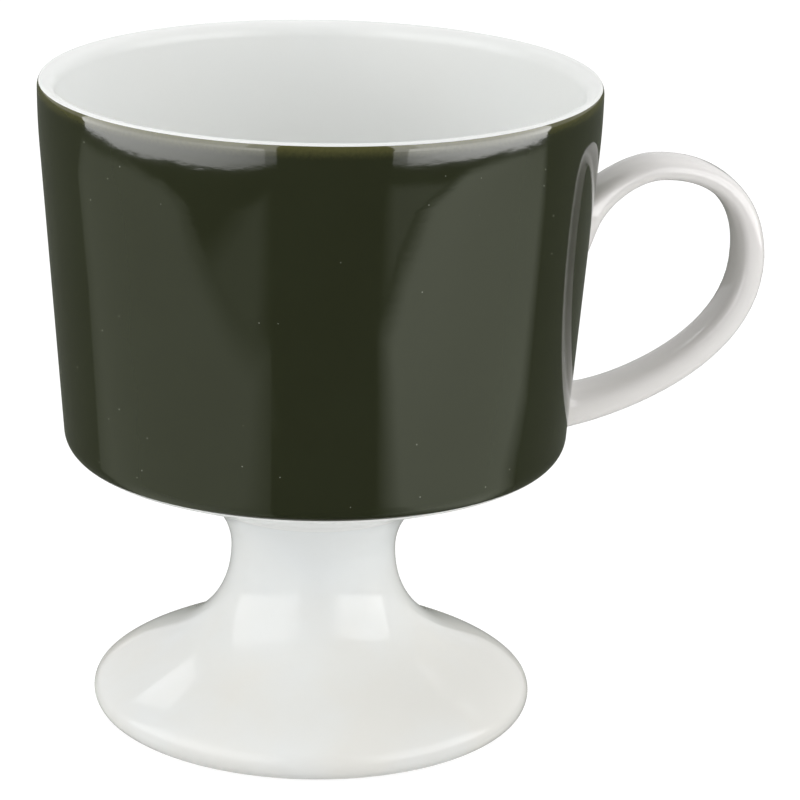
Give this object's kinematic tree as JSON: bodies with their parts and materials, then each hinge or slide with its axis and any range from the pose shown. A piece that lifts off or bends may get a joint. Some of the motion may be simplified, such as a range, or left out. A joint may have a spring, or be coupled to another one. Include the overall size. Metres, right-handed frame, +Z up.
{
  "type": "espresso cup",
  "caption": "Footed espresso cup: tapered porcelain bowl with a dark olive-green glazed outside, white hollow pedestal foot and white ear handle.",
  "frame": {"origin": "centre of the foot's resting face, on the cup's axis", "axes": "+Z up along the cup's axis, +X towards the handle, +Y to its left when looking along +X"},
  "size_m": [0.0788, 0.0594, 0.0702],
  "materials": {
    "white_porcelain": "clear gloss glaze",
    "olive_glaze": "dark olive-green gloss glaze",
    "joining_slip": "fired slip"
  },
  "bodies": {
    "root": {"bowl": "white_porcelain", "green_coat": "olive_glaze", "pedestal": "white_porcelain", "handle": "white_porcelain", "neck_slip": "joining_slip", "upper_handle_slip": "joining_slip", "lower_handle_slip": "joining_slip"}
  },
  "joints": []
}
